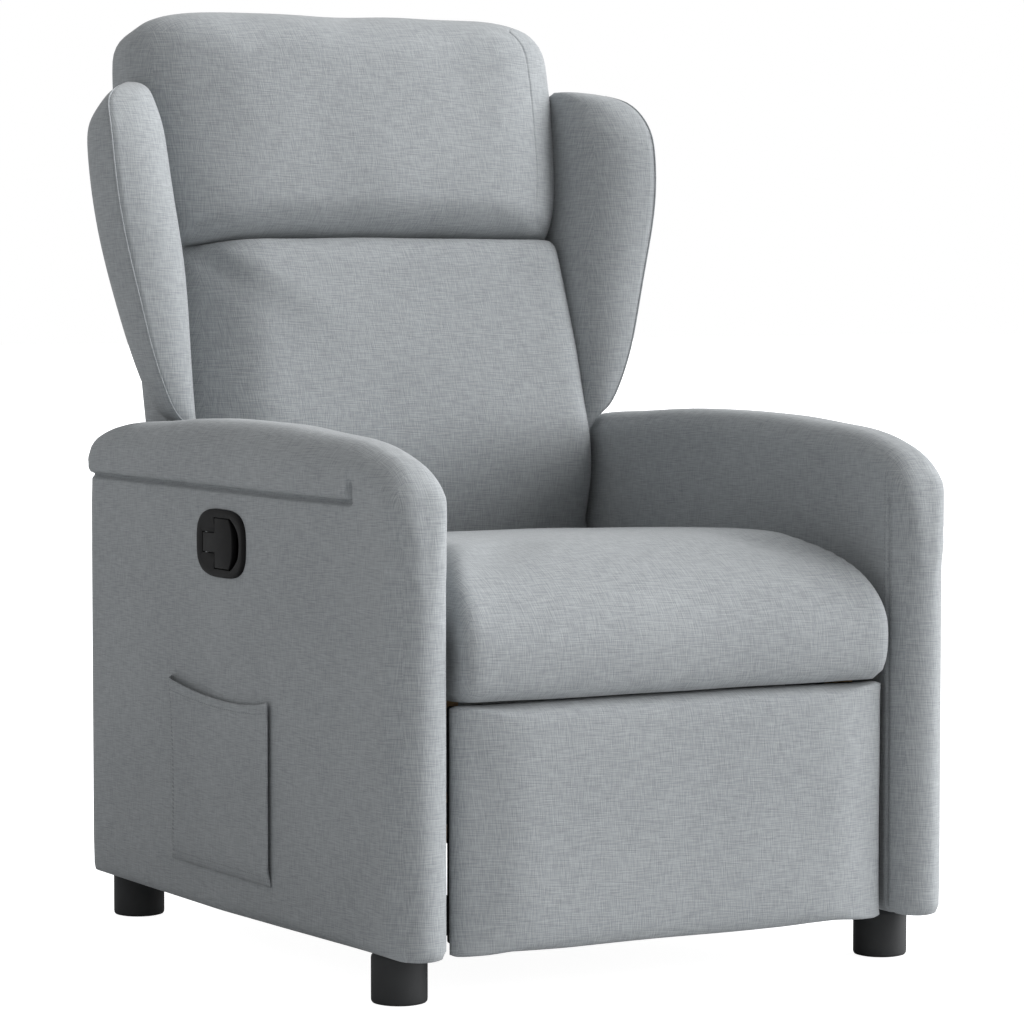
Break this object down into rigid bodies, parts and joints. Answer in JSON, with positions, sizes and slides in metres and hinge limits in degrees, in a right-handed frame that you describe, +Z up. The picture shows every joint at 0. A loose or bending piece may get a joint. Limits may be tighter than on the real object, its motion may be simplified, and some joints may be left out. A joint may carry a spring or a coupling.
{
  "type": "recliner armchair",
  "caption": "Upholstered wing-back recliner armchair with padded arms, a fold-out footrest, a reclining back, a flush pull release in one arm and a side pocket.",
  "frame": {"origin": "on the floor under the middle of the chair's box at rest", "axes": "+Z up, -Y the front of the chair, +X to the right seen from the front, so the release and the pocket are on the -X arm"},
  "size_m": [0.734, 0.9035, 1.0804],
  "materials": {
    "cover_fabric": "matte",
    "plywood": "matte",
    "black_steel": "satin",
    "zinc_steel": "satin",
    "spring_wire": "satin",
    "black_plastic": "matte",
    "webbing": "matte"
  },
  "bodies": {
    "base": {"arm_shell_left": "cover_fabric", "arm_shell_right": "cover_fabric", "arm_pad_left": "cover_fabric", "arm_pad_right": "cover_fabric", "arm_board_left": "plywood", "arm_board_right": "plywood", "foot_front_left": "black_plastic", "foot_front_right": "black_plastic", "foot_rear_left": "black_plastic", "foot_rear_right": "black_plastic", "track_left": "black_steel", "track_right": "black_steel", "base_rail_front": "plywood", "base_rail_rear": "plywood", "rear_panel": "cover_fabric", "release_housing": "black_plastic", "release_pin": "zinc_steel", "release_cable": "black_plastic", "latch_plate": "zinc_steel", "side_pocket": "cover_fabric"},
    "release_pull": {"release_pull": "black_plastic"},
    "latch_pawl": {"latch_pawl": "black_steel"},
    "seat": {"seat_rail_left": "plywood", "seat_rail_right": "plywood", "slider_left": "zinc_steel", "slider_right": "zinc_steel", "lift_bracket_left": "black_steel", "lift_bracket_right": "black_steel", "seat_rail_front": "plywood", "seat_rail_rear": "plywood", "seat_cushion": "cover_fabric", "seat_spring_1": "spring_wire", "seat_spring_2": "spring_wire", "seat_spring_3": "spring_wire", "seat_spring_4": "spring_wire"},
    "back": {"back_post_left": "plywood", "back_post_right": "plywood", "back_bracket_left": "black_steel", "back_bracket_right": "black_steel", "wing_left": "cover_fabric", "wing_right": "cover_fabric", "back_rail_bottom": "plywood", "back_rail_middle": "plywood", "back_rail_top": "plywood", "back_panel": "cover_fabric", "lumbar_cushion": "cover_fabric", "head_cushion": "cover_fabric", "back_web_1": "webbing", "back_web_2": "webbing", "back_web_3": "webbing"},
    "lift_arm": {"torque_tube": "black_steel", "lift_link_left": "black_steel", "lift_link_right": "black_steel"},
    "carry_arm": {"carry_link_left": "black_steel", "carry_link_right": "black_steel"},
    "footrest": {"footrest_board": "plywood", "footrest_pad": "cover_fabric", "footrest_hinge_left": "black_steel", "footrest_hinge_right": "black_steel"}
  },
  "joints": [
    {"name": "seat_slide", "type": "slide", "parent": "base", "child": "seat", "axis": [0, -1, 0], "range_m": [0, 0.056]},
    {"name": "back_recline", "type": "hinge", "parent": "seat", "child": "back", "pos_m": [0, 0.24635, 0.33], "axis": [-1, 0, 0], "range_deg": [0, 32]},
    {"name": "footrest_lift", "type": "hinge", "parent": "seat", "child": "lift_arm", "pos_m": [0, -0.33365, 0.285], "axis": [-1, 0, 0], "range_deg": [0, 135]},
    {"name": "footrest_knee", "type": "hinge", "parent": "lift_arm", "child": "carry_arm", "pos_m": [0, -0.21665, 0.16865], "axis": [-1, 0, 0], "range_deg": [-109, 0]},
    {"name": "footrest_turn", "type": "hinge", "parent": "carry_arm", "child": "footrest", "pos_m": [0, -0.37865, 0.2], "axis": [-1, 0, 0], "range_deg": [0, 64]},
    {"name": "pull_swing", "type": "hinge", "parent": "base", "child": "release_pull", "pos_m": [-0.3579, -0.00865, 0.466], "axis": [0, 0, -1], "range_deg": [0, 30], "stiffness_Nm_per_rad": 0.6, "springref_deg": -20.05},
    {"name": "latch_turn", "type": "hinge", "parent": "base", "child": "latch_pawl", "pos_m": [-0.27, -0.12865, 0.262], "axis": [-1, 0, 0], "range_deg": [0, 25]}
  ],
  "couplings": [
    {"joint": "seat_slide", "follows": "back_recline", "m_per_rad": 0.1},
    {"joint": "footrest_knee", "follows": "footrest_lift", "ratio": -0.80444},
    {"joint": "footrest_turn", "follows": "footrest_lift", "ratio": 0.47111},
    {"joint": "latch_turn", "follows": "pull_swing", "ratio": 0.8}
  ]
}
